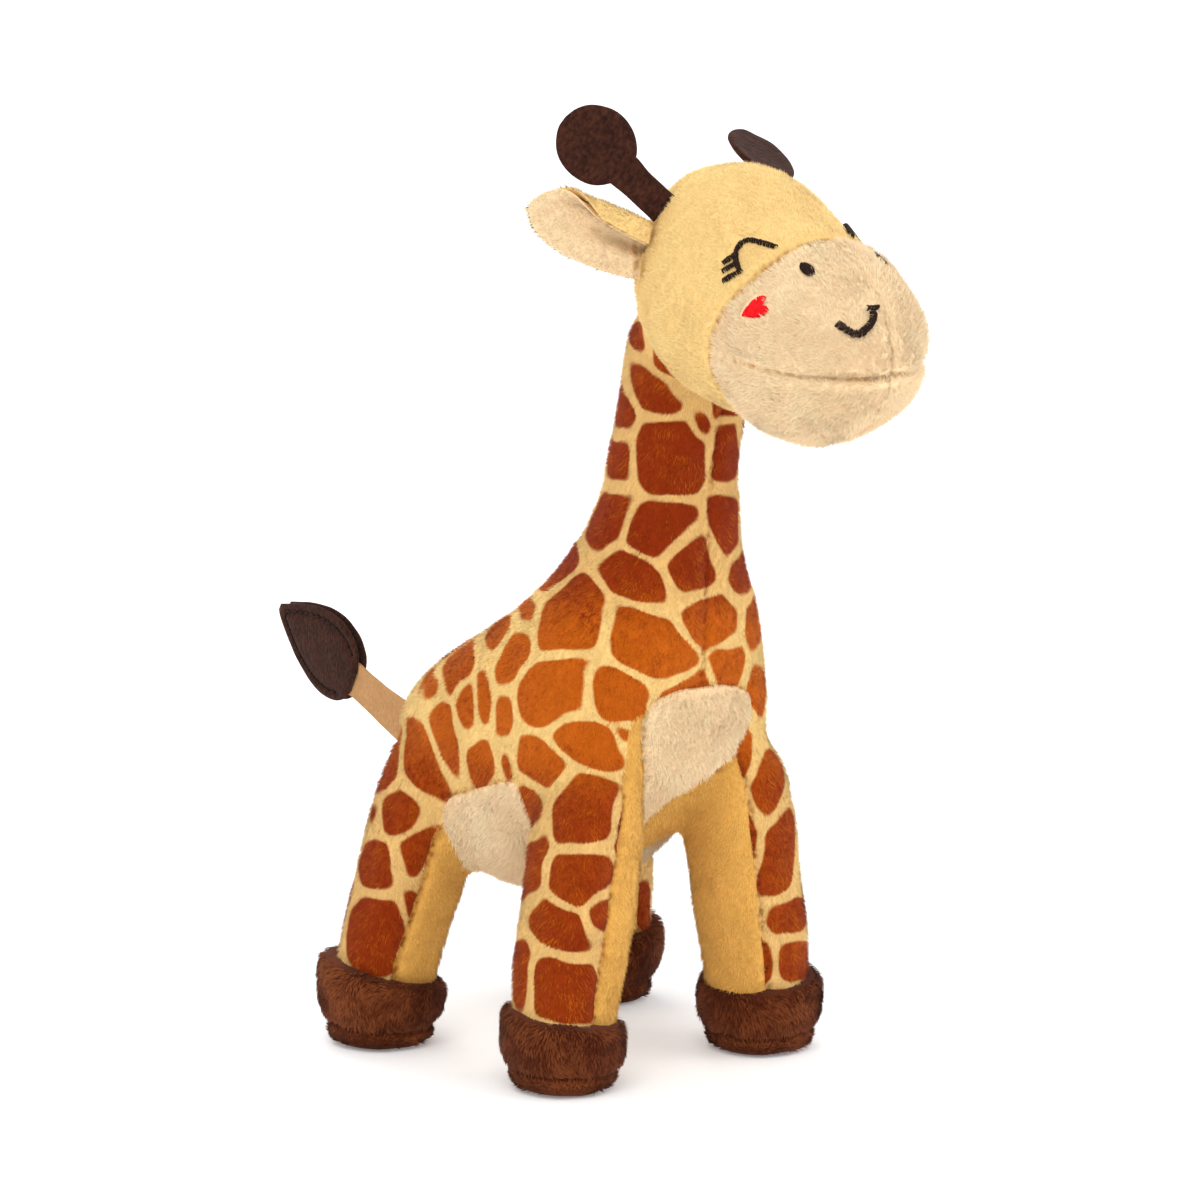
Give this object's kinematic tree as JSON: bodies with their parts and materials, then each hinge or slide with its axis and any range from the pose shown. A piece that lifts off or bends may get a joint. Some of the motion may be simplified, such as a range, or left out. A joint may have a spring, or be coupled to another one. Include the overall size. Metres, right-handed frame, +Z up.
{
  "type": "plush dog toy",
  "caption": "Stuffed plush giraffe that stands on four hooves, with a bending neck, nodding head, swinging legs, and soft ears, horns and tail.",
  "frame": {"origin": "on the floor under the middle of the toy's length and width", "axes": "+Z up, -Y ahead of the muzzle, -X to the animal's right"},
  "size_m": [0.1054, 0.2362, 0.2499],
  "materials": {
    "printed_plush": "matte",
    "gold_plush": "matte",
    "cream_plush": "matte",
    "yellow_plush": "matte",
    "brown_pile": "matte",
    "dark_felt": "matte",
    "tan_felt": "matte",
    "fibre_stuffing": "matte",
    "dark_thread": "satin",
    "red_thread": "satin",
    "squeaker_plastic": "satin"
  },
  "bodies": {
    "torso": {"side_panel_right": "printed_plush", "side_panel_left": "printed_plush", "chest_belly_panel": "cream_plush", "body_stuffing": "fibre_stuffing", "squeaker_bulb": "squeaker_plastic", "squeaker_reed": "squeaker_plastic"},
    "neck": {"neck_panel_right": "printed_plush", "neck_panel_left": "printed_plush", "neck_stuffing": "fibre_stuffing"},
    "head": {"head_back_right": "yellow_plush", "head_back_left": "yellow_plush", "head_face": "yellow_plush", "muzzle_right": "cream_plush", "muzzle_left": "cream_plush", "jaw_right": "cream_plush", "jaw_left": "cream_plush", "head_stuffing": "fibre_stuffing", "eye_right": "dark_thread", "eye_left": "dark_thread", "nostril_right": "dark_thread", "nostril_left": "dark_thread", "cheek_heart_right": "red_thread", "cheek_heart_left": "red_thread", "smile": "dark_thread"},
    "leg_front_right": {"leg_outer_panel_front_right": "printed_plush", "leg_inner_panel_front_right": "gold_plush", "leg_stuffing_front_right": "fibre_stuffing", "hoof_wall_front_right": "brown_pile", "hoof_sole_front_right": "brown_pile"},
    "leg_front_left": {"leg_outer_panel_front_left": "printed_plush", "leg_inner_panel_front_left": "gold_plush", "leg_stuffing_front_left": "fibre_stuffing", "hoof_wall_front_left": "brown_pile", "hoof_sole_front_left": "brown_pile"},
    "leg_rear_right": {"leg_outer_panel_rear_right": "printed_plush", "leg_inner_panel_rear_right": "gold_plush", "leg_stuffing_rear_right": "fibre_stuffing", "hoof_wall_rear_right": "brown_pile", "hoof_sole_rear_right": "brown_pile"},
    "leg_rear_left": {"leg_outer_panel_rear_left": "printed_plush", "leg_inner_panel_rear_left": "gold_plush", "leg_stuffing_rear_left": "fibre_stuffing", "hoof_wall_rear_left": "brown_pile", "hoof_sole_rear_left": "brown_pile"},
    "ear_right": {"ear_front_right": "cream_plush", "ear_back_right": "yellow_plush"},
    "ear_left": {"ear_front_left": "cream_plush", "ear_back_left": "yellow_plush"},
    "horn_right": {"horn_right": "dark_felt"},
    "horn_left": {"horn_left": "dark_felt"},
    "tail": {"tail_strip": "tan_felt", "tail_tuft_right": "dark_felt", "tail_tuft_left": "dark_felt"}
  },
  "joints": [
    {"name": "neck_bend", "type": "hinge", "parent": "torso", "child": "neck", "pos_m": [0, -0.02998, 0.134], "axis": [1, 0, 0], "range_deg": [-12, 12], "stiffness_Nm_per_rad": 1.2},
    {"name": "head_nod", "type": "hinge", "parent": "neck", "child": "head", "pos_m": [0, -0.0425, 0.188], "axis": [1, 0, 0], "range_deg": [-12, 15], "stiffness_Nm_per_rad": 0.8},
    {"name": "hip_front_right", "type": "hinge", "parent": "torso", "child": "leg_front_right", "pos_m": [-0.0265, -0.0305, 0.072], "axis": [1, 0, 0], "range_deg": [-12, 12], "stiffness_Nm_per_rad": 0.8},
    {"name": "hip_front_left", "type": "hinge", "parent": "torso", "child": "leg_front_left", "pos_m": [0.0265, -0.0305, 0.072], "axis": [1, 0, 0], "range_deg": [-12, 12], "stiffness_Nm_per_rad": 0.8},
    {"name": "hip_rear_right", "type": "hinge", "parent": "torso", "child": "leg_rear_right", "pos_m": [-0.0265, 0.026, 0.072], "axis": [1, 0, 0], "range_deg": [-12, 12], "stiffness_Nm_per_rad": 0.8},
    {"name": "hip_rear_left", "type": "hinge", "parent": "torso", "child": "leg_rear_left", "pos_m": [0.0265, 0.026, 0.072], "axis": [1, 0, 0], "range_deg": [-12, 12], "stiffness_Nm_per_rad": 0.8},
    {"name": "ear_flap_right", "type": "hinge", "parent": "head", "child": "ear_right", "pos_m": [-0.0248, -0.0462, 0.21594], "axis": [0.3928, -0.0924, 0.915], "range_deg": [-35, 35], "stiffness_Nm_per_rad": 0.01},
    {"name": "ear_flap_left", "type": "hinge", "parent": "head", "child": "ear_left", "pos_m": [0.02635, -0.0448, 0.21495], "axis": [0.0605, -0.2076, -0.9763], "range_deg": [-20, 35], "stiffness_Nm_per_rad": 0.01},
    {"name": "horn_flop_right", "type": "hinge", "parent": "head", "child": "horn_right", "pos_m": [-0.01849, -0.05043, 0.22568], "axis": [0.6136, -0.3378, 0.7137], "range_deg": [-35, 35], "stiffness_Nm_per_rad": 0.01},
    {"name": "horn_flop_left", "type": "hinge", "parent": "head", "child": "horn_left", "pos_m": [0.01869, -0.0501, 0.22539], "axis": [0.714, -0.2832, -0.6403], "range_deg": [-4, 50], "stiffness_Nm_per_rad": 0.01},
    {"name": "tail_wag", "type": "hinge", "parent": "torso", "child": "tail", "pos_m": [0, 0.04534, 0.06671], "axis": [0, 0.2654, 0.9642], "range_deg": [-60, 60], "stiffness_Nm_per_rad": 0.01}
  ]
}
